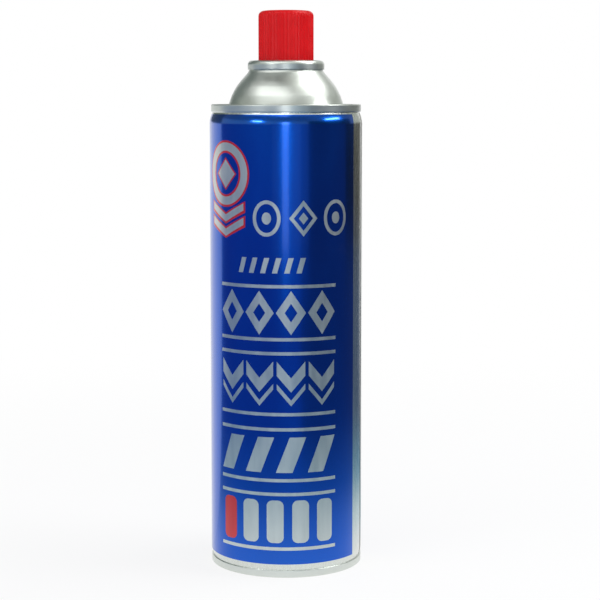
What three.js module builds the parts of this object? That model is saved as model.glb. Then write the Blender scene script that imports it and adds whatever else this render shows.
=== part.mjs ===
// A fuel canister: a seamed tinplate can with a rounded dome, a valve cup
// crimped over its mouth, a valve stem on a return spring and a ribbed cap.
// Millimetres, +Z up, standing on z = 0 with its axis on the Z axis.

import * as THREE from 'three';

// Can body
const BODY_RADIUS = 32.75;
const CAN_HEIGHT = 198.2;

// Double seams that join the two ends to the body
const SEAM_HEIGHT = 3.2;
const SEAM_THICKNESS = 1.4;
const SEAM_ROUND = 0.4;
const SEAM_GROOVE = 0.35;
const SEAM_LIP = 0.4;
const TOP_SEAM_INSET = 0.75;
const TOP_NECK_LENGTH = 4.8;
const BOTTOM_SEAM_INSET = 0.25;
const BOTTOM_NECK_LENGTH = 3.6;
const COUNTERSINK_DEPTH = 4.5;
const COUNTERSINK_ROUND = 1.4;

// Concave base and dome
const BASE_RISE = 5.0;
const TROUGH_WIDTH = 5.3;
const DOME_FOOT_ROUND = 1.5;
const DOME_FOOT_LEAN = 0.2;
const DOME_HEIGHT = 18.8;
const DOME_WALL_LEAN = 2.1;
const DOME_WALL_PULL = 11.8;
const DOME_NECK_PULL = 2.5;

// Curled mouth and the cup crimped over it
const SHEET = 0.35;
const FIT_GAP = 0.3;
const BEAD_HEIGHT = 3.8;
const BEAD_ROUND = 1.0;
const BEAD_FILLET = 0.5;
const CURL_RADIUS = 16.35;
const CURL_ROUND = 1.2;
const CURL_LIP_GAP = 0.35;
const CUP_DEPTH = 6.0;
const WELL_CORNER = 0.25;
const PEDESTAL_RADIUS = 6.2;
const PEDESTAL_RISE = 1.5;
const PEDESTAL_ROUND = 1.0;

// Stem, its gasket and the bore that guides it
const STEM_RADIUS = 1.95;
const STEM_BORE_RADIUS = 1.0;
const STEM_BORE_DEPTH = 7.0;
const STEM_RISE = 8.5;
const STEM_CHAMFER = 0.35;
const STEM_TRAVEL = 1.8;
const STEM_HOLE_GAP = 0.35;
const GASKET_GAP = 0.3;
const GASKET_THICKNESS = 1.0;
const COLLAR_RADIUS = 3.4;
const COLLAR_HEIGHT = 2.2;
const COLLAR_GAP = 0.4;
const TAIL_RADIUS = 1.5;
const TAIL_LENGTH = 2.5;
const POCKET_FLOOR_GAP = 1.7;

// Cap
const CAP_RADIUS = 11.75;
const CAP_LENGTH = 27.0;
const CAP_WALL = 1.2;
const CAP_CROWN = 1.2;
const CAP_SHOULDER = 2.2;
const CAP_CLEARANCE = 0.3;
const RIB_COUNT = 48;
const RIB_DEPTH = 0.35;

// Facets round the axis
const CAN_SEGMENTS = 48;
const CUP_SEGMENTS = 36;
const STEM_SEGMENTS = 24;
const SEGMENTS_PER_RIB = 2;

// Heights worked out from the sizes above
const troughZ = CAN_HEIGHT - COUNTERSINK_DEPTH;
const domeTopZ = troughZ + DOME_HEIGHT;
const beadTopZ = domeTopZ + BEAD_HEIGHT;
const curlTopZ = beadTopZ + SHEET;
const curlLipZ = domeTopZ + CURL_LIP_GAP;
const wellFloorZ = curlTopZ - CUP_DEPTH;
const crownZ = curlTopZ + PEDESTAL_RISE;
const gasketTopZ = crownZ - SHEET;
const collarTopZ = gasketTopZ - GASKET_THICKNESS;
const collarBottomZ = collarTopZ - COLLAR_HEIGHT;
const tailEndZ = collarBottomZ - TAIL_LENGTH;
const stemTopZ = crownZ + STEM_RISE;

// Radii worked out from the sizes above
const wellRadius = CAP_RADIUS + CAP_CLEARANCE;
const mouthRadius = wellRadius + SHEET + FIT_GAP;
const beadRadius = CURL_RADIUS - SHEET - FIT_GAP;
const crownFlatRadius = PEDESTAL_RADIUS - PEDESTAL_ROUND;
const gasketRadius = crownFlatRadius - FIT_GAP;
const housingRadius = PEDESTAL_RADIUS - SHEET - FIT_GAP;
const housingBoreRadius = COLLAR_RADIUS + COLLAR_GAP;

// A profile is a list of points (radius, height) that these functions extend.
function line(profile, ...points) {
  for (const [radius, height] of points) {
    profile.push(new THREE.Vector2(radius, height));
  }
}

// A rounded corner from the last point, past the corner, to the end point.
function bend(profile, corner, end, steps = 3) {
  const curve = new THREE.QuadraticBezierCurve(
    profile.at(-1),
    new THREE.Vector2(...corner),
    new THREE.Vector2(...end),
  );
  profile.push(...curve.getPoints(steps).slice(1));
}

// A longer sweep from the last point, shaped by two handles.
function sweep(profile, firstHandle, secondHandle, end, steps) {
  const curve = new THREE.CubicBezierCurve(
    profile.at(-1),
    new THREE.Vector2(...firstHandle),
    new THREE.Vector2(...secondHandle),
    new THREE.Vector2(...end),
  );
  profile.push(...curve.getPoints(steps).slice(1));
}

// Turns a profile round the Z axis. It runs from the underside outwards and up.
function turn(profile, segments) {
  const geometry = new THREE.LatheGeometry(profile, segments);
  geometry.rotateX(Math.PI / 2);
  return geometry;
}

function addBase(profile) {
  const seamRadius = BODY_RADIUS - BOTTOM_SEAM_INSET;
  const chuckRadius = seamRadius - SEAM_THICKNESS;
  const panelRadius = chuckRadius - COUNTERSINK_ROUND;
  const crown = COUNTERSINK_DEPTH + BASE_RISE;
  const grooveRadius = seamRadius - SEAM_GROOVE;
  line(profile, [0, crown]);
  bend(profile, [panelRadius / 2, crown], [panelRadius, COUNTERSINK_DEPTH], 4);
  bend(profile, [chuckRadius, COUNTERSINK_DEPTH], [chuckRadius, COUNTERSINK_DEPTH - COUNTERSINK_ROUND]);
  line(profile, [chuckRadius, SEAM_ROUND]);
  bend(profile, [chuckRadius, 0], [chuckRadius + SEAM_ROUND, 0], 2);
  line(profile, [seamRadius - SEAM_ROUND, 0]);
  bend(profile, [seamRadius, 0], [seamRadius, SEAM_ROUND], 2);
  line(profile, [seamRadius, SEAM_HEIGHT - SEAM_LIP]);
  bend(profile, [seamRadius, SEAM_HEIGHT], [grooveRadius, SEAM_HEIGHT], 2);
  line(profile, [grooveRadius, SEAM_HEIGHT + SEAM_LIP]);
  bend(
    profile,
    [BODY_RADIUS, SEAM_HEIGHT + SEAM_LIP + BOTTOM_NECK_LENGTH / 2],
    [BODY_RADIUS, SEAM_HEIGHT + SEAM_LIP + BOTTOM_NECK_LENGTH],
  );
}

function addTopSeam(profile) {
  const seamRadius = BODY_RADIUS - TOP_SEAM_INSET;
  const chuckRadius = seamRadius - SEAM_THICKNESS;
  const seamZ = CAN_HEIGHT - SEAM_HEIGHT;
  const grooveRadius = seamRadius - SEAM_GROOVE;
  line(profile, [BODY_RADIUS, seamZ - SEAM_LIP - TOP_NECK_LENGTH]);
  bend(
    profile,
    [BODY_RADIUS, seamZ - SEAM_LIP - TOP_NECK_LENGTH / 2],
    [grooveRadius, seamZ - SEAM_LIP],
  );
  line(profile, [grooveRadius, seamZ]);
  bend(profile, [seamRadius, seamZ], [seamRadius, seamZ + SEAM_LIP], 2);
  line(profile, [seamRadius, CAN_HEIGHT - SEAM_ROUND]);
  bend(profile, [seamRadius, CAN_HEIGHT], [seamRadius - SEAM_ROUND, CAN_HEIGHT], 2);
  line(profile, [chuckRadius + SEAM_ROUND, CAN_HEIGHT]);
  bend(profile, [chuckRadius, CAN_HEIGHT], [chuckRadius, CAN_HEIGHT - SEAM_ROUND], 2);
  line(profile, [chuckRadius, troughZ + COUNTERSINK_ROUND]);
  bend(profile, [chuckRadius, troughZ], [chuckRadius - COUNTERSINK_ROUND, troughZ]);
}

// The dome leans in from its foot, rounds over and draws in to the neck below the mouth.
function addDome(profile) {
  const footRadius = BODY_RADIUS - TOP_SEAM_INSET - SEAM_THICKNESS - TROUGH_WIDTH;
  const footZ = troughZ + DOME_FOOT_ROUND;
  const neckRadius = beadRadius + BEAD_FILLET;
  line(profile, [footRadius + DOME_FOOT_ROUND, troughZ]);
  bend(profile, [footRadius, troughZ], [footRadius - DOME_FOOT_LEAN, footZ]);
  sweep(
    profile,
    [footRadius - DOME_WALL_LEAN, footZ + DOME_WALL_PULL],
    [neckRadius, domeTopZ - DOME_NECK_PULL],
    [neckRadius, domeTopZ],
    9,
  );
}

// The curled mouth, then the valve housing that stands inside the cup's pedestal.
function addMouth(profile) {
  const fillZ = wellFloorZ - SHEET - FIT_GAP;
  const pocketZ = tailEndZ - STEM_TRAVEL - POCKET_FLOOR_GAP;
  bend(profile, [beadRadius, domeTopZ], [beadRadius, domeTopZ + BEAD_FILLET], 2);
  line(profile, [beadRadius, beadTopZ - BEAD_ROUND]);
  bend(profile, [beadRadius, beadTopZ], [beadRadius - BEAD_ROUND, beadTopZ]);
  line(profile, [mouthRadius + BEAD_ROUND, beadTopZ]);
  bend(profile, [mouthRadius, beadTopZ], [mouthRadius, beadTopZ - BEAD_ROUND]);
  line(
    profile,
    [mouthRadius, fillZ],
    [housingRadius, fillZ],
    [housingRadius, collarTopZ],
    [housingBoreRadius, collarTopZ],
    [housingBoreRadius, pocketZ],
    [0, pocketZ],
  );
}

function canGeometry() {
  const profile = [];
  addBase(profile);
  addTopSeam(profile);
  addDome(profile);
  addMouth(profile);
  return turn(profile, CAN_SEGMENTS);
}

// Sheet metal: the upper face from the curl's lip to the stem hole, then back below.
function valveCupGeometry() {
  const profile = [];
  const holeRadius = STEM_RADIUS + STEM_HOLE_GAP;
  const outerWell = wellRadius + SHEET;
  const innerPedestal = PEDESTAL_RADIUS - SHEET;
  const innerCurl = CURL_RADIUS - SHEET;
  const underFloorZ = wellFloorZ - SHEET;

  line(profile, [innerCurl, curlLipZ], [CURL_RADIUS, curlLipZ], [CURL_RADIUS, curlTopZ - CURL_ROUND]);
  bend(profile, [CURL_RADIUS, curlTopZ], [CURL_RADIUS - CURL_ROUND, curlTopZ]);
  line(profile, [wellRadius + CURL_ROUND, curlTopZ]);
  bend(profile, [wellRadius, curlTopZ], [wellRadius, curlTopZ - CURL_ROUND]);
  line(profile, [wellRadius, wellFloorZ + WELL_CORNER], [wellRadius - WELL_CORNER, wellFloorZ]);
  line(profile, [PEDESTAL_RADIUS + PEDESTAL_ROUND, wellFloorZ]);
  bend(profile, [PEDESTAL_RADIUS, wellFloorZ], [PEDESTAL_RADIUS, wellFloorZ + PEDESTAL_ROUND]);
  line(profile, [PEDESTAL_RADIUS, crownZ - PEDESTAL_ROUND]);
  bend(profile, [PEDESTAL_RADIUS, crownZ], [crownFlatRadius, crownZ]);
  line(profile, [holeRadius, crownZ], [holeRadius, gasketTopZ], [crownFlatRadius, gasketTopZ]);
  bend(profile, [innerPedestal, gasketTopZ], [innerPedestal, crownZ - PEDESTAL_ROUND]);
  line(profile, [innerPedestal, wellFloorZ + PEDESTAL_ROUND]);
  bend(profile, [innerPedestal, underFloorZ], [PEDESTAL_RADIUS + PEDESTAL_ROUND, underFloorZ]);
  line(profile, [outerWell - WELL_CORNER, underFloorZ], [outerWell, underFloorZ + WELL_CORNER]);
  line(profile, [outerWell, curlTopZ - CURL_ROUND]);
  bend(profile, [outerWell, beadTopZ], [wellRadius + CURL_ROUND, beadTopZ]);
  line(profile, [CURL_RADIUS - CURL_ROUND, beadTopZ]);
  bend(profile, [innerCurl, beadTopZ], [innerCurl, curlTopZ - CURL_ROUND]);
  profile.push(profile[0].clone());
  return turn(profile, CUP_SEGMENTS);
}

// A rubber ring clamped between the pedestal's crown and the housing's rim.
function stemGasketGeometry() {
  const profile = [];
  const innerRadius = STEM_RADIUS + GASKET_GAP;
  line(
    profile,
    [innerRadius, collarTopZ],
    [gasketRadius, collarTopZ],
    [gasketRadius, gasketTopZ],
    [innerRadius, gasketTopZ],
    [innerRadius, collarTopZ],
  );
  return turn(profile, STEM_SEGMENTS);
}

// Tail, collar and tube, with the gas bore open at the top.
function valveStemGeometry() {
  const profile = [];
  line(
    profile,
    [0, tailEndZ],
    [TAIL_RADIUS, tailEndZ],
    [TAIL_RADIUS, collarBottomZ],
    [COLLAR_RADIUS, collarBottomZ],
    [COLLAR_RADIUS, collarTopZ],
    [STEM_RADIUS, collarTopZ],
    [STEM_RADIUS, stemTopZ - STEM_CHAMFER],
    [STEM_RADIUS - STEM_CHAMFER, stemTopZ],
    [STEM_BORE_RADIUS, stemTopZ],
    [STEM_BORE_RADIUS, stemTopZ - STEM_BORE_DEPTH],
    [0, stemTopZ - STEM_BORE_DEPTH],
  );
  return turn(profile, STEM_SEGMENTS);
}

// Presses the outer wall in between the ribs. Only what lies outside the ribs'
// root moves, so each rib dies out where the shoulder turns inwards.
function pressRibs(geometry) {
  const position = geometry.attributes.position;
  const rootRadius = CAP_RADIUS - RIB_DEPTH;
  for (let i = 0; i < position.count; i += 1) {
    const x = position.getX(i);
    const y = position.getY(i);
    const radius = Math.hypot(x, y);
    if (radius > rootRadius) {
      const crest = (1 + Math.cos(RIB_COUNT * Math.atan2(x, y))) / 2;
      const scale = (rootRadius + crest * (radius - rootRadius)) / radius;
      position.setXY(i, x * scale, y * scale);
    }
  }
}

// A cup-shaped moulding, open below, whose rim stands on the well's floor.
function capGeometry() {
  const profile = [];
  const topZ = wellFloorZ + CAP_LENGTH;
  const ceilingZ = topZ - CAP_CROWN;
  const innerRadius = CAP_RADIUS - CAP_WALL;
  const innerRound = CAP_SHOULDER - CAP_WALL;
  line(profile, [0, ceilingZ], [innerRadius - innerRound, ceilingZ]);
  bend(profile, [innerRadius, ceilingZ], [innerRadius, ceilingZ - innerRound], 2);
  line(profile, [innerRadius, wellFloorZ], [CAP_RADIUS, wellFloorZ], [CAP_RADIUS, topZ - CAP_SHOULDER]);
  bend(profile, [CAP_RADIUS, topZ], [CAP_RADIUS - CAP_SHOULDER, topZ], 4);
  line(profile, [0, topZ]);
  const geometry = turn(profile, RIB_COUNT * SEGMENTS_PER_RIB);
  pressRibs(geometry);
  return geometry;
}

function piece(name, geometry, color, roughness, metalness) {
  const material = new THREE.MeshStandardMaterial({ color, roughness, metalness });
  const mesh = new THREE.Mesh(geometry, material);
  mesh.name = name;
  return mesh;
}

const canister = new THREE.Group();
canister.name = 'fuel_canister';
canister.add(
  piece('can', canGeometry(), 0x1d4fb4, 0.25, 0.8),
  piece('valve_cup', valveCupGeometry(), 0xc3cbc5, 0.3, 1.0),
  piece('stem_gasket', stemGasketGeometry(), 0x1e1e20, 0.8, 0.0),
  piece('valve_stem', valveStemGeometry(), 0xece9e1, 0.45, 0.0),
  piece('cap', capGeometry(), 0xd41f2b, 0.35, 0.0),
);

export default canister;
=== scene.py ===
"""Fuel canister: a printed tinplate can with a crimped valve cup, a sprung valve stem and a ribbed cap.

Every piece is modelled in metres where the frame holds its solid, with +Z up and the printed panel facing -Y.
"""

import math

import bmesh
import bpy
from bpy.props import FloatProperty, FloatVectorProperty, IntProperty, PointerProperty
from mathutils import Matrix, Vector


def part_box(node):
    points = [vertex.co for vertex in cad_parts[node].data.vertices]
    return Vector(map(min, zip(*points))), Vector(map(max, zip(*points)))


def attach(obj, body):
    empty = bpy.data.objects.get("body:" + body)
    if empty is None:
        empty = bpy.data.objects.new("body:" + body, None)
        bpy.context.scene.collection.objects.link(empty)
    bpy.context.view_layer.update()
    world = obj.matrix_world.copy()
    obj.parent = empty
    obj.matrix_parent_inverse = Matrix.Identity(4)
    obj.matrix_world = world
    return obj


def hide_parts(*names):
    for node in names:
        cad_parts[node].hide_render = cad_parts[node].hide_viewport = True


bl_info = {
    "name": "Fuel Canister",
    "version": (1, 0, 0),
    "blender": (4, 5, 0),
    "location": "3D View > Sidebar > Canister",
    "description": "Builds a printed tinplate gas can with its valve and ribbed cap",
    "category": "Object",
}

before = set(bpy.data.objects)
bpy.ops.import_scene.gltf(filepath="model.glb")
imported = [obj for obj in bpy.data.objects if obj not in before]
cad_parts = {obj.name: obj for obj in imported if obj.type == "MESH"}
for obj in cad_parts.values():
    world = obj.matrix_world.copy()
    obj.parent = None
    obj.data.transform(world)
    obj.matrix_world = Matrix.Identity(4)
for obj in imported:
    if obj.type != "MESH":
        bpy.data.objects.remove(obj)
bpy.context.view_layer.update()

CAN_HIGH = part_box("can")[1]
CUP_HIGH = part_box("valve_cup")[1]
GASKET_LOW, GASKET_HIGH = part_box("stem_gasket")
STEM_LOW, STEM_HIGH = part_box("valve_stem")
CAP_LOW, CAP_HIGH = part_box("cap")

MM = 0.001
GUARD = 0.2 * MM
FIT_GAP = 0.3 * MM
MERGE = 0.0001 * MM
PRINT_SLICE = 1.2 * MM
ARC_STEP = 0.2
SHARP_EDGE = math.radians(35)
SMALL_FACETS = 96

# The dome's corners in millimetres: inside its foot, above the trough, and rounding
DOME_CORNERS = ((0, 0, 1.5), (0.78, 5.08, 3.2), (2.93, 10.13, 2.1), (4.94, 13.15, 1.35), (6.38, 14.89, 0.65))

# The print in millimetres: places round the can from the front, and heights above the floor
RED_EDGE = 0.9
ROUNDEL = (-28.5, 169.5)
ROUNDEL_DROPS = (17.0, 23.0)
MARKS = ((-8.0, 40), (7.5, 4), (22.5, 40))
MARK_HEIGHT = 151.5
SLASHES = 6
SLASH_HEIGHT = 128.8
FRIEZE_LEFT = -31.5
FRIEZE_WIDTH = 54.0
FRIEZES = ((124.0, 100.5), (96.0, 69.0), (64.0, 41.0), (36.5, 11.8))
RULE = 1.4

# The picture in pixels: its size, its focal length, and the row that the camera's axis meets
PICTURE = 600
FOCAL = 1709.4
AXIS_ROW = 274.9
TILT = math.radians(84)

# Glowing panels that paint the reflections in the can and that nothing else sees, from -Y towards +X: name,
# low and high in metres, start and end in degrees, glow tone
CARD_RADIUS = 1.6
CARDS = (
    ("flag_left", 0.001, 0.24, -112, -20, (0.08, 0.14, 0.37)),
    ("flag_left_mid", 0.24, 0.62, -112, -20, (0.6, 0.64, 0.54)),
    ("flag_left_high", 0.62, 1.45, -112, -20, (0.3, 0.32, 0.3)),
    ("card_middle", 0.001, 0.3, -20, 6, (0.16, 0.24, 0.42)),
    ("card_right", 0.001, 0.3, 6, 22, (0.25, 0.45, 0.68)),
    ("card_edge", 0.001, 0.3, 22, 34, (0.15, 0.27, 0.46)),
    ("flag_front_mid", 0.3, 0.62, -20, 34, (0.5, 0.54, 0.47)),
    ("flag_front_high", 0.62, 1.45, -20, 34, (0.3, 0.32, 0.3)),
    ("flag_right", 0.001, 0.24, 34, 100, (0.07, 0.1, 0.17)),
    ("flag_right_mid", 0.24, 0.62, 34, 112, (0.07, 0.08, 0.075)),
    ("card_right_mid", 0.24, 0.62, 112, 150, (0.45, 0.47, 0.44)),
    ("flag_right_high", 0.62, 1.45, 34, 150, (0.35, 0.37, 0.34)),
    ("flag_margin", 0.001, 0.24, 100, 150, (0.06, 0.055, 0.045)),
    ("flag_back", 0.9, 2.4, 150, 205, (0.1, 0.12, 0.11)),
    ("flag_back_left", 0.24, 2.4, 205, 248, (0.14, 0.17, 0.16)),
)

# Glowing roof panels over the can that paint its reflections and that nothing else sees: name, start and end
# in degrees, glow tone
ROOF_HEIGHT = 2.2
ROOFS = (("flag_top", 120, 385, (0.09, 0.1, 0.09)), ("card_top", 25, 120, (0.6, 0.62, 0.58)))

# Glowing mats low down that paint the floor's reflection in the can and that nothing else sees: name, start
# and end in degrees, and their glow tone far out.
# Their tones nearer the can are the same: distance out in metres, and tone
MAT_HEIGHT = 0.0006
MATS = (("mat_left", -112, 22, (0.08, 0.15, 0.34, 1.0)), ("mat_right", 22, 150, (0.07, 0.1, 0.17, 1.0)))
MAT_FAR = 0.36
MAT_TONES = ((0.06, (0.85, 0.9, 0.95, 1.0)), (0.115, (0.6, 0.72, 0.78, 1.0)), (0.19, (0.17, 0.33, 0.46, 1.0)))

# Lamps that face the dome: name, azimuth, elevation, distance, width, height and radiance
LAMP_AIM = (0, 0, 0.19)
LAMPS = (
    ("front_strip", -0.5, 5.5, 0.9, 0.16, 0.2, 3.7),
    ("front_low", -0.5, -4.8, 0.9, 0.15, 0.11, 1.2),
    ("left_spot", -43, 14, 1.0, 0.26, 0.05, 20.0),
    ("right_spot", 76, 20, 1.0, 0.45, 0.08, 15.0),
    ("front_soft", -36, 52, 1.1, 1.3, 0.5, 1.5),
    ("right_soft", 96, 53, 1.0, 0.62, 0.55, 3.5),
)


def linear(hex_code):
    """An sRGB hex colour as linear red, green, blue and alpha."""
    channels = [int(hex_code[i:i + 2], 16) / 255 for i in (1, 3, 5)]
    return tuple(c / 12.92 if c <= 0.04045 else ((c + 0.055) / 1.055) ** 2.4 for c in channels) + (1.0,)


def length(name, description, value):
    """A size in metres that a user may change."""
    return FloatProperty(
        name=name, description=description, default=value, precision=5, unit="LENGTH", subtype="DISTANCE"
    )


def angle(name, description, degrees):
    """An angle round the can, from the front (-Y) towards +X."""
    return FloatProperty(
        name=name, description=description, default=math.radians(degrees), unit="ROTATION", subtype="ANGLE"
    )


def colour(name, description, hex_code):
    """A linear colour whose default is an sRGB hex value."""
    return FloatVectorProperty(
        name=name, description=description, default=linear(hex_code),
        size=4, min=0.0, max=1.0, subtype="COLOR",
    )


class CanisterSizes(bpy.types.PropertyGroup):
    """Sizes of the can, its print, the valve cup and the cap."""

    body_radius: length("Body radius", "Outer radius of the can's wall", CAN_HIGH.x)
    can_height: length("Can height", "From the floor to the top of the upper seam", 198.2 * MM)
    seam_height: length("Seam height", "Height of each double seam", 3.2 * MM)
    seam_thickness: length("Seam thickness", "Across a double seam, from outer to inner face", 1.4 * MM)
    seam_groove: length("Seam groove", "How far the wall turns in behind a seam", 0.35 * MM)
    seam_lip: length("Seam lip", "Height of the groove beside a seam", 0.4 * MM)
    seam_round: length("Seam rounding", "Rounding of a seam's edges", 0.42 * MM)
    top_inset: length("Top seam inset", "How far the upper seam stands inside the wall", 0.75 * MM)
    top_neck: length("Top neck", "Height over which the wall narrows to the upper seam", 4.8 * MM)
    bottom_inset: length("Bottom seam inset", "How far the lower seam stands inside the wall", 0.25 * MM)
    bottom_neck: length("Bottom neck", "Height over which the wall narrows to the lower seam", 3.6 * MM)
    countersink: length("Countersink", "Depth of each end panel below its seam", 4.5 * MM)
    base_rise: length("Base rise", "Rise of the concave base at its middle", 5.0 * MM)
    dome_foot: length("Dome foot", "Radius of the dome where it leaves the trough", 25.3 * MM)
    sheet: length("Sheet", "Thickness of the tinplate", 0.35 * MM)
    bead_height: length("Bead height", "Height of the curled mouth", 3.8 * MM)
    cup_depth: length("Cup depth", "From the curl's top to the floor of its well", 6.0 * MM)
    pedestal_radius: length("Pedestal radius", "Outer radius of the cup's pedestal", 6.2 * MM)
    pedestal_rise: length("Pedestal rise", "How far the pedestal stands above the curl", 1.5 * MM)
    stem_radius: length("Stem radius", "Outer radius of the valve stem", 1.95 * MM)
    cap_wall: length("Cap wall", "Thickness of the cap's wall and crown", 1.2 * MM)
    cap_shoulder: length("Cap shoulder", "Rounding of the cap's top edge", 2.2 * MM)
    rib_depth: length("Rib depth", "Depth of the grooves between the cap's ribs", 0.35 * MM)
    rib_count: IntProperty(name="Ribs", description="Number of ribs round the cap", default=48, min=8, max=96)
    print_bottom: length("Print bottom", "Height of the blue field's lower edge", 5.8 * MM)
    print_top: length("Print top", "Height of the blue field's upper edge", 194.1 * MM)
    ink: length("Ink", "How far each printed layer stands on the one below", 0.03 * MM)
    margin_start: angle("Margin start", "Where the bare weld margin starts, round from the front", 60.3)
    margin_end: angle("Margin end", "Where the bare weld margin ends, round from the front", 97.0)
    weld_at: angle("Weld place", "Where the side weld runs, round from the front", 78.0)
    weld_width: length("Weld width", "Width of the lapped side weld", 0.9 * MM)
    facets: IntProperty(name="Facets", description="Facets round the can", default=240, min=48, max=512)


class CanisterColours(bpy.types.PropertyGroup):
    """Colours of the metals, inks, plastics and the studio."""

    lacquer: colour("Blue lacquer", "Transparent blue ink over tinplate", "#0359C8")
    tinplate: colour("Tinplate", "Bare bright tinplate", "#DDE2DC")
    silver: colour("Silver print", "Metal left bare under the varnish", "#DCE0DC")
    red_ink: colour("Red print", "Transparent red ink over tinplate", "#D8232C")
    weld: colour("Weld", "Heat-tinted steel along the side weld", "#8F8A80")
    cap: colour("Cap", "Red polypropylene", "#D8050F")
    stem: colour("Stem", "White acetal", "#ECE8DE")
    gasket: colour("Gasket", "Black nitrile rubber", "#1B1B1D")
    floor: colour("Floor", "Pale studio floor", "#F2F2F2")


def node(tree, kind, inputs=None, **settings):
    """Adds a node. Settings are its attributes, and an input takes a value or the socket that feeds it."""
    item = tree.nodes.new(kind)
    for name, value in settings.items():
        setattr(item, name, value)
    for name, value in (inputs or {}).items():
        if isinstance(value, bpy.types.NodeSocket):
            tree.links.new(value, item.inputs[name])
        else:
            item.inputs[name].default_value = value
    return item


def new_material(name):
    """A node material with nothing in it yet. Returns the material and its node tree."""
    material = bpy.data.materials.new(name)
    material.use_nodes = True
    material.node_tree.nodes.clear()
    return material, material.node_tree


def grain(tree, size, stretch=(1.0, 1.0, 1.0)):
    """A cloudy pattern from 0 to 1 whose grains are size metres across, times stretch along each axis."""
    place = node(tree, "ShaderNodeTexCoord")
    scale = [1 / (size * s) for s in stretch]
    spaced = node(tree, "ShaderNodeMapping", {"Vector": place.outputs["Object"], "Scale": scale})
    noise = node(
        tree, "ShaderNodeTexNoise", {"Vector": spaced.outputs["Vector"], "Scale": 1.0, "Detail": 3.0}
    ).outputs["Fac"]
    spread = node(tree, "ShaderNodeMapRange", {"Value": noise, "From Min": 0.3, "From Max": 0.7})
    return spread.outputs["Result"]


def tool_rings(tree, spacing):
    """Fine uneven rings round the can's axis, spacing metres apart, as a press tool leaves them."""
    place = node(tree, "ShaderNodeTexCoord")
    parts = node(tree, "ShaderNodeSeparateXYZ", {"Vector": place.outputs["Object"]})
    flat = node(tree, "ShaderNodeCombineXYZ", {"X": parts.outputs["X"], "Y": parts.outputs["Y"]})
    radius = node(tree, "ShaderNodeVectorMath", {"Vector": flat.outputs["Vector"]}, operation="LENGTH")
    along = node(tree, "ShaderNodeCombineXYZ", {"X": radius.outputs["Value"], "Y": parts.outputs["Z"]})
    rings = node(
        tree, "ShaderNodeTexNoise", {"Vector": along.outputs["Vector"], "Scale": 1 / spacing, "Detail": 2.0}
    )
    return rings.outputs["Fac"]


def finish(tree, base, darkening, cloud, rough, relief, height, more):
    """Joins a finish together. Where the cloud is low, the colour is darker by a fraction and the roughness
    is the first of the two. The relief is height metres deep."""
    dark = tuple(channel * (1 - darkening) for channel in base[:3]) + (1.0,)
    tone = node(tree, "ShaderNodeMix", {0: cloud, 6: dark, 7: tuple(base)}, data_type="RGBA")
    rubbed = node(tree, "ShaderNodeMapRange", {"Value": cloud, "To Min": rough[0], "To Max": rough[1]})
    raised = node(tree, "ShaderNodeBump", {"Height": relief, "Distance": height, "Strength": 1.0})
    shader = node(tree, "ShaderNodeBsdfPrincipled", {
        "Base Color": tone.outputs[2],
        "Roughness": rubbed.outputs["Result"],
        "Normal": raised.outputs["Normal"],
        **more,
    })
    node(tree, "ShaderNodeOutputMaterial", {"Surface": shader.outputs["BSDF"]})


def profile(corners, closed=True):
    """A wire in the XZ plane from corners of (radius, height, rounding), all in metres.

    A rounding is how far from its corner the arc starts. Guard points beside the arcs keep the flats flat.
    """
    bm = bmesh.new()
    knots = [bm.verts.new((r, 0, z)) for r, z, _ in corners]
    chain = []
    for i, knot in enumerate(knots):
        chain.append(knot)
        if i + 1 < len(knots) or closed:
            after = (i + 1) % len(knots)
            span = (knots[after].co - knot.co).length
            near = corners[i][2] + GUARD
            far = corners[after][2] + GUARD
            if span > near + far + GUARD:
                for reach in (near, span - far):
                    chain.append(bm.verts.new(knot.co.lerp(knots[after].co, reach / span)))
    ends = chain[1:] + chain[:1] if closed else chain[1:]
    for start, end in zip(chain, ends):
        bm.edges.new((start, end))
    for knot, (_, _, rounding) in zip(knots, corners):
        if rounding:
            sides = [edge.other_vert(knot).co - knot.co for edge in knot.link_edges]
            turn = math.pi - sides[0].angle(sides[1])
            segments = max(2, math.ceil(turn / ARC_STEP))
            bmesh.ops.bevel(
                bm, geom=[knot], offset=rounding, offset_type="OFFSET", segments=segments,
                profile=0.5, affect="VERTICES", material=-1,
            )
    return bm


def turned(corners, facets, closed=True, start=0.0, sweep=math.tau):
    """The profile turned round the Z axis. A part turn starts at an angle from the front, with flat ends."""
    bm = profile(corners, closed)
    whole = sweep > math.tau - 1e-6
    bmesh.ops.rotate(bm, verts=bm.verts, cent=(0, 0, 0), matrix=Matrix.Rotation(start - math.pi / 2, 3, "Z"))
    bmesh.ops.spin(
        bm, geom=bm.verts[:] + bm.edges[:], cent=(0, 0, 0), axis=(0, 0, 1), dvec=(0, 0, 0),
        angle=sweep, steps=max(2, round(facets * sweep / math.tau)), use_merge=whole, use_duplicate=False,
    )
    bmesh.ops.remove_doubles(bm, verts=bm.verts, dist=MERGE)
    if not whole:
        bmesh.ops.holes_fill(bm, edges=[edge for edge in bm.edges if edge.is_boundary], sides=0)
    bmesh.ops.recalc_face_normals(bm, faces=bm.faces)
    return bm


def add_piece(name, bm, material, body, cad_node):
    """Makes the mesh an object that rides on a body and stands for a CAD node."""
    mesh = bpy.data.meshes.new(name)
    bm.to_mesh(mesh)
    bm.free()
    mesh.shade_smooth()
    mesh.set_sharp_from_angle(angle=SHARP_EDGE)
    mesh.materials.append(material)
    piece = bpy.data.objects.new(name, mesh)
    bpy.context.scene.collection.objects.link(piece)
    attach(piece, body)
    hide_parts(cad_node)


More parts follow.
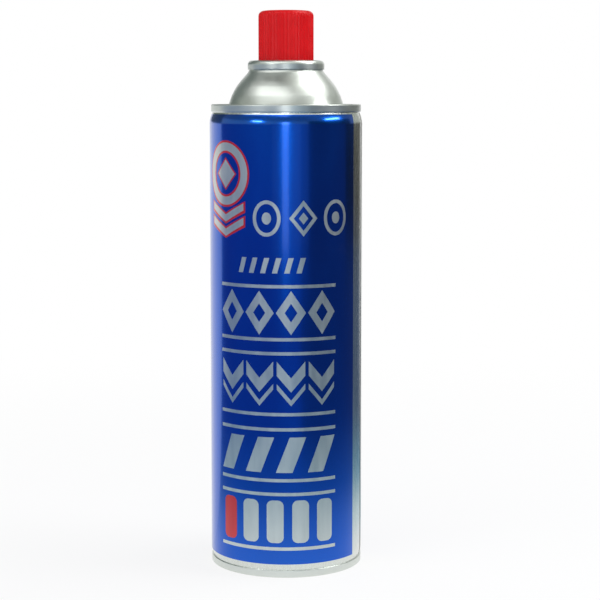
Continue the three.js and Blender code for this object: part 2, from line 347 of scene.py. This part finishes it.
def wall_outline(s, depth, low, high):
    """The can wall's outside from low to high, moved inwards by depth. It narrows towards both seams."""
    foot = s.seam_height + s.seam_lip
    neck = s.can_height - s.seam_height - s.seam_lip
    waist = foot + s.bottom_neck / 2
    shoulder = neck - s.top_neck / 2
    foot_radius = s.body_radius - s.bottom_inset - s.seam_groove
    neck_radius = s.body_radius - s.top_inset - s.seam_groove
    rise = min(1.0, max(0.0, (low - foot) / (waist - foot)))
    low_radius = foot_radius + (s.body_radius - foot_radius) * rise
    fall = min(1.0, max(0.0, (high - shoulder) / (neck - shoulder)))
    high_radius = s.body_radius + (neck_radius - s.body_radius) * fall
    corners = [
        (foot_radius, foot, 0.1 * MM),
        (s.body_radius, waist, 1.5 * MM),
        (s.body_radius, shoulder, 2.0 * MM),
        (neck_radius, neck, 0.1 * MM),
    ]
    between_ends = [corner for corner in corners if low + GUARD < corner[1] < high - GUARD]
    outline = [(low_radius, low, 0.0)] + between_ends + [(high_radius, high, 0.0)]
    return [(r - depth, z, rounding) for r, z, rounding in outline]


def wall_layer(s, outer, inner, low, high, start=0.0, sweep=math.tau):
    """A layer of the wall between two depths, as a closed shell that may go only part of the way round."""
    skin = wall_outline(s, outer, low, high)
    back = wall_outline(s, inner, low, high)[::-1]
    return turned(skin + back, s.facets, start=start, sweep=sweep)


def plate(bm, points, rounding=0.0, stroke=0.0):
    """A flat printed shape from (round the can, height) corners in mm. A stroke leaves only its outline."""
    corners = [bm.verts.new((x * MM, 0, z * MM)) for x, z in points]
    for start, end in zip(corners, corners[1:] + corners[:1]):
        bm.edges.new((start, end))
    if rounding:
        for corner in corners:
            bmesh.ops.bevel(
                bm, geom=[corner], offset=rounding * MM, offset_type="OFFSET", segments=6,
                profile=0.5, affect="VERTICES", material=-1,
            )
    outline = [edge for edge in bm.edges if edge.is_wire]
    face = bmesh.ops.contextual_create(bm, geom=outline)["faces"][0]
    if stroke:
        bmesh.ops.inset_individual(bm, faces=[face], thickness=stroke * MM, use_even_offset=True)
        bmesh.ops.delete(bm, geom=[face], context="FACES_ONLY")


def polygon(x, z, width, height, sides):
    """Corners of a regular polygon round its middle, or of a circle where it has many sides."""
    steps = [math.tau * i / sides for i in range(sides)]
    return [(x + width / 2 * math.sin(a), z + height / 2 * math.cos(a)) for a in steps]


def bar(x, z, width, height, lean=0.0):
    """Corners of a bar from its lower left corner. Its top leans to the right."""
    return [(x, z), (x + width, z), (x + width + lean, z + height), (x + lean, z + height)]


def chevron(x, z, arm, rise, thick):
    """Corners of a V whose upper notch is at this place."""
    upper = [(x - arm, z + rise), (x, z), (x + arm, z + rise)]
    return upper + [(along, up - thick) for along, up in upper[::-1]]


def printed(bm, radius, thickness):
    """Wraps flat shapes round the can as closed layers whose outside is at this radius."""
    reach = [vert.co.x for vert in bm.verts]
    cut = min(reach) + PRINT_SLICE
    while cut < max(reach):
        geom = bm.verts[:] + bm.edges[:] + bm.faces[:]
        bmesh.ops.bisect_plane(bm, geom=geom, plane_co=(cut, 0, 0), plane_no=(1, 0, 0), dist=MERGE)
        cut += PRINT_SLICE
    back = bmesh.ops.extrude_face_region(bm, geom=bm.faces[:], use_keep_orig=True)["geom"]
    moved = [item for item in back if isinstance(item, bmesh.types.BMVert)]
    bmesh.ops.translate(bm, verts=moved, vec=(0, thickness, 0))
    for vert in bm.verts:
        around = vert.co.x / radius
        reach = radius - vert.co.y
        vert.co = (reach * math.sin(around), -reach * math.cos(around), vert.co.z)
    bmesh.ops.recalc_face_normals(bm, faces=bm.faces)


def tinplate_material(c):
    """Electrolytic tinplate, drawn in a press: bright and satin, with faint rings from the tool."""
    material, tree = new_material("tinplate_drawn")
    cloud = grain(tree, 6 * MM)
    # Real tool rings are finer than a pixel, so these are drawn as coarse as they need to show
    rings = tool_rings(tree, 0.35 * MM)
    finish(tree, c.tinplate, 0.06, cloud, (0.32, 0.4), rings, 0.0008 * MM, {"Metallic": 1.0})
    return material


def wall_material(c):
    """Tinplate sheet rolled flat and varnished: bright, with rolling lines that run up the can."""
    material, tree = new_material("tinplate_sheet_varnished")
    # Real rolling lines are finer than a pixel, so these are drawn as coarse as they need to show
    lines = grain(tree, 0.5 * MM, (1, 1, 40))
    more = {"Metallic": 1.0, "Coat Weight": 0.6, "Coat Roughness": 0.08}
    finish(tree, c.tinplate, 0.12, lines, (0.2, 0.3), lines, 0.0004 * MM, more)
    return material


def lacquer_material(c):
    """Clear blue lacquer over tinplate: a deep metallic blue under gloss varnish with faint orange peel."""
    material, tree = new_material("blue_lacquer_on_tinplate")
    cloud = grain(tree, 14 * MM, (1, 1, 3))
    peel = grain(tree, 2.2 * MM)
    more = {"Metallic": 1.0, "Coat Weight": 0.6, "Coat Roughness": 0.08}
    finish(tree, c.lacquer, 0.08, cloud, (0.19, 0.24), peel, 0.0012 * MM, more)
    return material


def silver_material(c):
    """Tinplate left unprinted under the varnish: pale satin metal, greyer and softer than the lacquer."""
    material, tree = new_material("silver_tinplate_print")
    cloud = grain(tree, 3 * MM, (1, 1, 6))
    more = {"Metallic": 1.0, "Coat Weight": 1.0, "Coat Roughness": 0.1}
    finish(tree, c.silver, 0.12, cloud, (0.36, 0.46), cloud, 0.0008 * MM, more)
    return material


def red_material(c):
    """Transparent red ink over tinplate: a warm metallic red under the same varnish."""
    material, tree = new_material("red_ink_on_tinplate")
    cloud = grain(tree, 3 * MM, (1, 1, 6))
    more = {"Metallic": 0.6, "Coat Weight": 1.0, "Coat Roughness": 0.1}
    finish(tree, c.red_ink, 0.15, cloud, (0.3, 0.4), cloud, 0.0008 * MM, more)
    return material


def weld_material(c):
    """Resistance-welded lap: dull grey steel with straw and blue heat tint in small nuggets."""
    material, tree = new_material("heat_tinted_weld")
    nuggets = grain(tree, 0.7 * MM, (1, 1, 0.8))
    finish(tree, c.weld, 0.45, nuggets, (0.3, 0.5), nuggets, 0.012 * MM, {"Metallic": 1.0})
    return material


def plastic_material(name, base, roughness, scatter, texture_size):
    """Moulded plastic: an even colour with a faint flow pattern and the mould's fine matt texture."""
    material, tree = new_material(name)
    flow = grain(tree, 5 * MM)
    texture = grain(tree, texture_size)
    more = {
        "Subsurface Weight": scatter,
        "Subsurface Scale": 1.0 * MM,
        "IOR": 1.49,
        "Specular IOR Level": 0.25,
    }
    finish(tree, base, 0.1, flow, (roughness - 0.05, roughness + 0.05), texture, 0.0016 * MM, more)
    return material


class CANISTER_OT_wall(bpy.types.Operator):
    """Rolled and welded wall of the can, in bare varnished tinplate"""

    bl_idname = "canister.wall"
    bl_label = "Can Wall"

    def execute(self, context):
        s, c = context.scene.canister_sizes, context.scene.canister_colours
        low = s.seam_height - 1 * MM
        high = s.can_height - s.seam_height + 1 * MM
        shell = wall_layer(s, 2 * s.ink, 2 * s.ink + s.sheet, low, high)
        add_piece("can_wall", shell, wall_material(c), "can", "can")
        return {"FINISHED"}


class CANISTER_OT_base(bpy.types.Operator):
    """Concave bottom end and its double seam"""

    bl_idname = "canister.base"
    bl_label = "Bottom End"

    def execute(self, context):
        s, c = context.scene.canister_sizes, context.scene.canister_colours
        seam = s.body_radius - s.bottom_inset
        chuck = seam - s.seam_thickness
        foot = chuck - 1.4 * MM
        rise = s.countersink + s.base_rise
        corners = [
            (0.0, rise, 0.0),
            (foot / 2, rise, 14 * MM),
            (foot, s.countersink, 1 * MM),
            (chuck, s.countersink, 1.3 * MM),
            (chuck, 0.0, s.seam_round),
            (seam, 0.0, s.seam_round),
            (seam, s.seam_height, 0.33 * MM),
            (chuck + s.sheet, s.seam_height, 0.2 * MM),
            (chuck + s.sheet, s.countersink + s.sheet, 0.9 * MM),
            (foot, s.countersink + s.sheet, 0.8 * MM),
            (foot / 2, rise + s.sheet, 14 * MM),
            (0.0, rise + s.sheet, 0.0),
        ]
        shell = turned(corners, s.facets, closed=False)
        add_piece("bottom_end", shell, tinplate_material(c), "can", "can")
        return {"FINISHED"}


class CANISTER_OT_dome(bpy.types.Operator):
    """Rounded dome, its double seam and the curled mouth"""

    bl_idname = "canister.dome"
    bl_label = "Top End"

    def execute(self, context):
        s, c = context.scene.canister_sizes, context.scene.canister_colours
        t = s.sheet
        seam = s.body_radius - s.top_inset
        chuck = seam - s.seam_thickness
        seam_foot = s.can_height - s.seam_height
        trough = s.can_height - s.countersink
        bead_top = CUP_HIGH.z - s.pedestal_rise - t
        bead_foot = bead_top - s.bead_height
        bead = CUP_HIGH.x - t - FIT_GAP
        mouth = CAP_HIGH.x + FIT_GAP + t + FIT_GAP
        mouth_foot = bead_top - s.cup_depth
        dome = [(s.dome_foot - r * MM, trough + z * MM, rounding * MM) for r, z, rounding in DOME_CORNERS]
        back = [(r - 0.3 * MM, z - 0.2 * MM, 0.9 * rounding) for r, z, rounding in dome[:0:-1]]
        curl = [
            (bead + 0.5 * MM, bead_foot - 0.84 * MM, 0.6 * MM),
            (bead, bead_foot + 0.2 * MM, 0.3 * MM),
            (bead, bead_top, 1.0 * MM),
            (mouth, bead_top, 1.0 * MM),
            (mouth, mouth_foot, 0.0),
        ]
        under = [
            (mouth + t, mouth_foot, 0.0),
            (mouth + t, bead_top - t, 0.65 * MM),
            (bead - t, bead_top - t, 0.65 * MM),
            (bead - t, bead_foot - 0.2 * MM, 0.2 * MM),
            (bead + 0.2 * MM, bead_foot - 1.04 * MM, 0.5 * MM),
            *back,
            (s.dome_foot - t, trough - t, 1.2 * MM),
            (chuck + t, trough - t, 1.0 * MM),
            (chuck + t, seam_foot, 0.0),
        ]
        seam_corners = [
            (seam, seam_foot, 0.33 * MM),
            (seam, s.can_height, s.seam_round),
            (chuck, s.can_height, s.seam_round),
            (chuck, trough, 1.4 * MM),
        ]
        shell = turned(seam_corners + dome + curl + under, s.facets)
        add_piece("top_end", shell, tinplate_material(c), "can", "can")
        return {"FINISHED"}


class CANISTER_OT_lacquer(bpy.types.Operator):
    """Blue lacquer round the can, which stops short of the side weld"""

    bl_idname = "canister.lacquer"
    bl_label = "Blue Lacquer"

    def execute(self, context):
        s, c = context.scene.canister_sizes, context.scene.canister_colours
        sweep = math.tau - (s.margin_end - s.margin_start)
        layer = wall_layer(s, s.ink, 3 * s.ink, s.print_bottom, s.print_top, s.margin_end, sweep)
        add_piece("blue_lacquer", layer, lacquer_material(c), "can", "can")
        return {"FINISHED"}


class CANISTER_OT_weld(bpy.types.Operator):
    """Lapped side weld in the bare margin"""

    bl_idname = "canister.weld"
    bl_label = "Side Weld"

    def execute(self, context):
        s, c = context.scene.canister_sizes, context.scene.canister_colours
        width = s.weld_width / s.body_radius
        low = s.seam_height + s.seam_lip
        high = s.can_height - s.seam_height - s.seam_lip
        strip = wall_layer(s, -s.ink, 3 * s.ink, low, high, s.weld_at - width / 2, width)
        add_piece("side_weld", strip, weld_material(c), "can", "can")
        return {"FINISHED"}


class CANISTER_OT_print(bpy.types.Operator):
    """Silver and red print: a roundel, small marks and four friezes of plain shapes"""

    bl_idname = "canister.print"
    bl_label = "Print"

    def execute(self, context):
        s, c = context.scene.canister_sizes, context.scene.canister_colours
        silver = bmesh.new()
        red = bmesh.new()
        x, z = ROUNDEL
        for bm, grow in ((silver, 0.0), (red, RED_EDGE)):
            plate(bm, polygon(x, z, 24 + 2 * grow, 26 + 2 * grow, 48), stroke=3.4 + 2 * grow)
            plate(bm, polygon(x, z, 11 + 2 * grow, 12 + 2 * grow, 4))
            for drop in ROUNDEL_DROPS:
                plate(bm, chevron(x, z - drop + grow, 10 + grow, 5, 3 + 2 * grow))
        for x, sides in MARKS:
            plate(silver, polygon(x, MARK_HEIGHT, 12, 15, sides), stroke=1.5)
            plate(silver, polygon(x, MARK_HEIGHT, 4, 5, sides))
        for i in range(SLASHES):
            plate(silver, bar(-21 + 5.1 * i, SLASH_HEIGHT, 2.2, 6.4, 1.8))
        for top, bottom in FRIEZES:
            for z in (top - RULE, bottom):
                plate(silver, bar(FRIEZE_LEFT, z, FRIEZE_WIDTH, RULE))
        for i in range(4):
            x = FRIEZE_LEFT + FRIEZE_WIDTH * (i + 0.5) / 4
            plate(silver, polygon(x, 112.3, 12.6, 18.4, 4), stroke=3.0)
            plate(silver, chevron(x, 85, 6, 7, 6))
            plate(silver, chevron(x, 75.6, 6, 7, 2.4))
            plate(silver, bar(x - 6.4, 45, 7, 15, 5.8))
        for i in range(5):
            x = FRIEZE_LEFT + FRIEZE_WIDTH * (i + 0.5) / 5
            plate(silver if i else red, bar(x - 3.6, 15, 7.2, 18.2), rounding=2.4)
        for name, bm, depth, material in (
            ("silver_print", silver, 0.0, silver_material(c)),
            ("red_print", red, 0.4 * s.ink, red_material(c)),
        ):
            printed(bm, s.body_radius - depth, 2 * s.ink)
            add_piece(name, bm, material, "can", "can")
        return {"FINISHED"}


class CANISTER_OT_cup(bpy.types.Operator):
    """Valve cup crimped over the can's mouth, with its well and pedestal"""

    bl_idname = "canister.cup"
    bl_label = "Valve Cup"

    def execute(self, context):
        s, c = context.scene.canister_sizes, context.scene.canister_colours
        curl = CUP_HIGH.x
        crown = CUP_HIGH.z
        rim = crown - s.pedestal_rise
        well = CAP_HIGH.x + FIT_GAP
        floor = rim - s.cup_depth
        lip = rim - s.sheet - s.bead_height + 0.35 * MM
        hole = s.stem_radius + 0.35 * MM
        t = s.sheet
        corners = [
            (curl - t, lip, 0.1 * MM),
            (curl, lip, 0.1 * MM),
            (curl, rim, 1.7 * MM),
            (well, rim, 1.5 * MM),
            (well, floor, 0.5 * MM),
            (s.pedestal_radius, floor, 1 * MM),
            (s.pedestal_radius, crown, 1 * MM),
            (hole, crown, 0.1 * MM),
            (hole, crown - t, 0.1 * MM),
            (s.pedestal_radius - t, crown - t, 0.65 * MM),
            (s.pedestal_radius - t, floor - t, 1.3 * MM),
            (well + t, floor - t, 0.8 * MM),
            (well + t, rim - t, 1.15 * MM),
            (curl - t, rim - t, 1.35 * MM),
        ]
        shell = turned(corners, s.facets)
        add_piece("valve_cup_shell", shell, tinplate_material(c), "can", "valve_cup")
        return {"FINISHED"}


class CANISTER_OT_gasket(bpy.types.Operator):
    """Rubber ring under the pedestal's crown"""

    bl_idname = "canister.gasket"
    bl_label = "Stem Gasket"

    def execute(self, context):
        s, c = context.scene.canister_sizes, context.scene.canister_colours
        inner = s.stem_radius + 0.3 * MM
        corners = [
            (inner, GASKET_LOW.z, 0.1 * MM),
            (GASKET_HIGH.x, GASKET_LOW.z, 0.1 * MM),
            (GASKET_HIGH.x, GASKET_HIGH.z, 0.1 * MM),
            (inner, GASKET_HIGH.z, 0.1 * MM),
        ]
        rubber = plastic_material("nitrile_rubber", c.gasket, 0.7, 0.0, 0.3 * MM)
        add_piece("gasket_ring", turned(corners, SMALL_FACETS), rubber, "can", "stem_gasket")
        return {"FINISHED"}


class CANISTER_OT_stem(bpy.types.Operator):
    """Valve stem with its collar, tail and gas bore, and the housing that guides it"""

    bl_idname = "canister.stem"
    bl_label = "Valve Stem"

    def execute(self, context):
        s, c = context.scene.canister_sizes, context.scene.canister_colours
        acetal = plastic_material("acetal_moulded", c.stem, 0.38, 0.1, 0.25 * MM)
        collar = STEM_HIGH.x
        shelf = GASKET_LOW.z
        under = shelf - 2.2 * MM
        top = STEM_HIGH.z
        stem = [
            (0.0, STEM_LOW.z, 0.0),
            (1.5 * MM, STEM_LOW.z, 0.3 * MM),
            (1.5 * MM, under, 0.1 * MM),
            (collar, under, 0.2 * MM),
            (collar, shelf, 0.2 * MM),
            (s.stem_radius, shelf, 0.1 * MM),
            (s.stem_radius, top, 0.35 * MM),
            (1 * MM, top, 0.15 * MM),
            (1 * MM, top - 7 * MM, 0.2 * MM),
            (0.0, top - 7 * MM, 0.0),
        ]
        tube = turned(stem, SMALL_FACETS, closed=False)
        add_piece("stem_tube", tube, acetal, "stem", "valve_stem")
        bore = collar + 0.4 * MM
        sleeve = s.pedestal_radius - s.sheet - 0.3 * MM
        pocket = STEM_LOW.z - 3.5 * MM
        housing = [
            (0.0, pocket - 1 * MM, 0.0),
            (sleeve, pocket - 1 * MM, 0.5 * MM),
            (sleeve, shelf, 0.2 * MM),
            (bore, shelf, 0.2 * MM),
            (bore, pocket, 0.5 * MM),
            (0.0, pocket, 0.0),
        ]
        cage = turned(housing, SMALL_FACETS, closed=False)
        add_piece("valve_housing", cage, acetal, "can", "can")
        return {"FINISHED"}


class CANISTER_OT_cap(bpy.types.Operator):
    """Red cap with fine ribs that die out at its shoulder"""

    bl_idname = "canister.cap"
    bl_label = "Ribbed Cap"

    def execute(self, context):
        s, c = context.scene.canister_sizes, context.scene.canister_colours
        outer = CAP_HIGH.x
        inner = outer - s.cap_wall
        top, rim = CAP_HIGH.z, CAP_LOW.z
        corners = [
            (0.0, top - s.cap_wall, 0.0),
            (inner, top - s.cap_wall, 1 * MM),
            (inner, rim, 0.15 * MM),
            (outer, rim, 0.25 * MM),
            (outer, top, s.cap_shoulder),
            (0.0, top, 0.0),
        ]
        shell = turned(corners, s.rib_count * 6, closed=False)
        root = outer - s.rib_depth
        for vert in shell.verts:
            radius = vert.co.xy.length
            if radius > root:
                crest = 0.5 + 0.5 * math.cos(s.rib_count * math.atan2(vert.co.x, vert.co.y))
                vert.co.xy *= (root + crest * (radius - root)) / radius
        red = plastic_material("polypropylene_red", c.cap, 0.32, 0.05, 0.4 * MM)
        add_piece("cap_ribbed", shell, red, "cap", "cap")
        return {"FINISHED"}


def sky(azimuth, elevation, distance, centre):
    """A point this far from the centre, at an azimuth from the front (-Y) towards +X, in degrees."""
    a, e = math.radians(azimuth), math.radians(elevation)
    way = Vector((math.sin(a) * math.cos(e), -math.cos(a) * math.cos(e), math.sin(e)))
    return Vector(centre) + distance * way


def stage_object(name, mesh_maker, material, only_mirrored=False):
    """A floor, mat or card, which isn't part of the canister."""
    bm = bmesh.new()
    mesh_maker(bm)
    mesh = bpy.data.meshes.new(name)
    bm.to_mesh(mesh)
    bm.free()
    mesh.shade_smooth()
    mesh.materials.append(material)
    thing = bpy.data.objects.new(name, mesh)
    bpy.context.scene.collection.objects.link(thing)
    if only_mirrored:
        thing.visible_camera = False
        thing.visible_diffuse = False
        thing.visible_transmission = False
        thing.visible_shadow = False


def arc_wall(radius, low, high, start, end, outer=None):
    """Spins an upright edge, or a flat one where outer is given, round the can between two azimuths."""
    def build(bm):
        first = bm.verts.new((radius, 0, low))
        last = bm.verts.new((outer or radius, 0, high))
        bm.edges.new((first, last))
        turn = Matrix.Rotation(math.radians(start - 90), 3, "Z")
        bmesh.ops.rotate(bm, verts=bm.verts, cent=(0, 0, 0), matrix=turn)
        bmesh.ops.spin(
            bm, geom=bm.verts[:] + bm.edges[:], cent=(0, 0, 0), axis=(0, 0, 1), dvec=(0, 0, 0),
            angle=math.radians(end - start), steps=64, use_merge=False, use_duplicate=False,
        )
    return build


def painted_reflection_card_material(name, tone):
    """A panel that glows in one even tone and that only reflections see: a painted reflection, not a lamp."""
    material, tree = new_material(name)
    glow = node(tree, "ShaderNodeEmission", {"Color": tuple(tone) + (1.0,), "Strength": 1.0})
    node(tree, "ShaderNodeOutputMaterial", {"Surface": glow.outputs["Emission"]})
    return material


def distance_out(tree):
    """How far a point of the stage is from the can's axis, in metres."""
    place = node(tree, "ShaderNodeTexCoord")
    reach = node(tree, "ShaderNodeVectorMath", {0: place.outputs["Object"]}, operation="LENGTH")
    return reach.outputs["Value"]


def seen_white(tree):
    """1 for camera, glossy and transmission rays, 0 for the light that falls on things."""
    path = node(tree, "ShaderNodeLightPath")
    first = node(
        tree, "ShaderNodeMath", {0: path.outputs["Is Camera Ray"], 1: path.outputs["Is Glossy Ray"]},
        operation="ADD",
    )
    both = node(
        tree, "ShaderNodeMath", {0: first.outputs[0], 1: path.outputs["Is Transmission Ray"]},
        operation="ADD", use_clamp=True,
    )
    return both.outputs[0]


def square(bm):
    """A floor 8 m across."""
    bmesh.ops.create_grid(bm, x_segments=1, y_segments=1, size=4.0)


def studio_world():
    """A white studio to the eye and in reflections, and a soft light from all round."""
    world = bpy.data.worlds.new("studio")
    world.use_nodes = True
    tree = world.node_tree
    tree.nodes.clear()
    ambient = node(tree, "ShaderNodeBackground", {"Color": (0.95, 0.97, 1.0, 1.0), "Strength": 0.62})
    white = node(tree, "ShaderNodeBackground", {"Color": (1.0, 1.0, 1.0, 1.0), "Strength": 1.0})
    mix = node(tree, "ShaderNodeMixShader", {0: seen_white(tree), 1: ambient.outputs[0], 2: white.outputs[0]})
    node(tree, "ShaderNodeOutputWorld", {"Surface": mix.outputs[0]})
    return world


def floor_material(c):
    """Matt pale paint that keeps the can's shadow near it and fades to white further out."""
    material, tree = new_material("floor_matt_paint")
    paint = node(tree, "ShaderNodeBsdfDiffuse", {"Color": tuple(c.floor)})
    glow = node(tree, "ShaderNodeEmission", {"Color": (1.0, 1.0, 1.0, 1.0), "Strength": 1.0})
    fade = node(tree, "ShaderNodeMapRange", {
        "Value": distance_out(tree), "From Min": 0.1, "From Max": 0.6, "To Min": 0.8, "To Max": 1.0,
    }, interpolation_type="SMOOTHSTEP")
    share = node(tree, "ShaderNodeMath", {0: seen_white(tree), 1: fade.outputs[0]}, operation="MULTIPLY")
    mix = node(tree, "ShaderNodeMixShader", {0: share.outputs[0], 1: paint.outputs[0], 2: glow.outputs[0]})
    node(tree, "ShaderNodeOutputMaterial", {"Surface": mix.outputs[0]})
    return material


def painted_reflection_mat_material(name, far):
    """A glowing mat that only reflections see, a painted reflection of the floor: clear under the can,
    glowing pale beside it and darker further out.
    """
    material, tree = new_material(name)
    out = distance_out(tree)
    tones = node(tree, "ShaderNodeValToRGB", {"Fac": out})
    ramp = tones.color_ramp.elements
    ramp[0].position, ramp[0].color = MAT_TONES[0]
    ramp[1].position, ramp[1].color = MAT_FAR, far
    for position, tone in MAT_TONES[1:]:
        ramp.new(position).color = tone
    # The mat's glow, pale near the can and darker further out: a painted reflection of the floor
    dark = node(tree, "ShaderNodeEmission", {"Color": tones.outputs["Color"], "Strength": 1.0})
    grade = node(tree, "ShaderNodeMapRange", {"Value": out, "From Min": 0.03, "From Max": 0.08})
    clear = node(tree, "ShaderNodeBsdfTransparent")
    mix = node(tree, "ShaderNodeMixShader", {0: grade.outputs[0], 1: clear.outputs[0], 2: dark.outputs[0]})
    node(tree, "ShaderNodeOutputMaterial", {"Surface": mix.outputs[0]})
    return material


def add_lamp(scene, name, azimuth, elevation, distance, width, height, radiance):
    """A rectangular area lamp that faces the dome."""
    data = bpy.data.lights.new(name, "AREA")
    data.shape = "RECTANGLE"
    data.size = width
    data.size_y = height
    data.energy = radiance * math.pi * width * height
    lamp = bpy.data.objects.new(name, data)
    lamp.location = sky(azimuth, elevation, distance, LAMP_AIM)
    lamp.rotation_euler = (Vector(LAMP_AIM) - lamp.location).to_track_quat("-Z", "Y").to_euler()
    scene.collection.objects.link(lamp)


def add_camera(scene):
    """The camera at the picture's place, height and tilt."""
    data = bpy.data.cameras.new("camera")
    data.sensor_width = 36
    data.lens = data.sensor_width * FOCAL / PICTURE
    data.shift_y = (AXIS_ROW - PICTURE / 2) / PICTURE
    camera = bpy.data.objects.new("camera", data)
    camera.location = (5.95 * MM, -734.4 * MM, 202.0 * MM)
    camera.rotation_euler = (TILT, 0, 0)
    scene.collection.objects.link(camera)
    scene.camera = camera


class CANISTER_OT_stage(bpy.types.Operator):
    """Pale floor, soft studio lights, glowing cards that paint the can's reflections, and the camera"""

    bl_idname = "canister.stage"
    bl_label = "Stage"

    def execute(self, context):
        scene = context.scene
        scene.view_settings.view_transform = "Standard"
        scene.world = studio_world()
        stage_object("floor", square, floor_material(scene.canister_colours))
        # Glowing cards, roof panels and mats that only reflections see: they paint the reflections in the can
        for name, low, high, start, end, tone in CARDS:
            stage_object(name, arc_wall(CARD_RADIUS, low, high, start, end), painted_reflection_card_material(name, tone), True)
        for name, start, end, tone in ROOFS:
            roof = arc_wall(0.02, ROOF_HEIGHT, ROOF_HEIGHT, start, end, outer=1.7)
            stage_object(name, roof, painted_reflection_card_material(name, tone), True)
        for name, start, end, far in MATS:
            mat = arc_wall(0.05, MAT_HEIGHT, MAT_HEIGHT, start, end, outer=CARD_RADIUS)
            stage_object(name, mat, painted_reflection_mat_material(name, far), True)
        for lamp in LAMPS:
            add_lamp(scene, *lamp)
        add_camera(scene)
        return {"FINISHED"}


STEPS = (
    CANISTER_OT_wall, CANISTER_OT_base, CANISTER_OT_dome, CANISTER_OT_lacquer, CANISTER_OT_weld,
    CANISTER_OT_print, CANISTER_OT_cup, CANISTER_OT_gasket, CANISTER_OT_stem, CANISTER_OT_cap,
    CANISTER_OT_stage,
)


class CANISTER_PT_panel(bpy.types.Panel):
    """Buttons that build the canister, and its sizes and colours"""

    bl_idname = "CANISTER_PT_panel"
    bl_label = "Canister"
    bl_space_type = "VIEW_3D"
    bl_region_type = "UI"
    bl_category = "Canister"

    def draw(self, context):
        for step in STEPS:
            self.layout.operator(step.bl_idname)
        for group in (context.scene.canister_sizes, context.scene.canister_colours):
            box = self.layout.box()
            for name in group.bl_rna.properties.keys():
                if name not in ("rna_type", "name"):
                    box.prop(group, name)


CLASSES = (CanisterSizes, CanisterColours) + STEPS + (CANISTER_PT_panel,)


def register():
    for cls in CLASSES:
        bpy.utils.register_class(cls)
    bpy.types.Scene.canister_sizes = PointerProperty(type=CanisterSizes)
    bpy.types.Scene.canister_colours = PointerProperty(type=CanisterColours)


def unregister():
    del bpy.types.Scene.canister_colours
    del bpy.types.Scene.canister_sizes
    for cls in reversed(CLASSES):
        bpy.utils.unregister_class(cls)


def main():
    register()
    for step in STEPS:
        family, name = step.bl_idname.split(".")
        getattr(getattr(bpy.ops, family), name)()


if __name__ == "__main__":
    main()
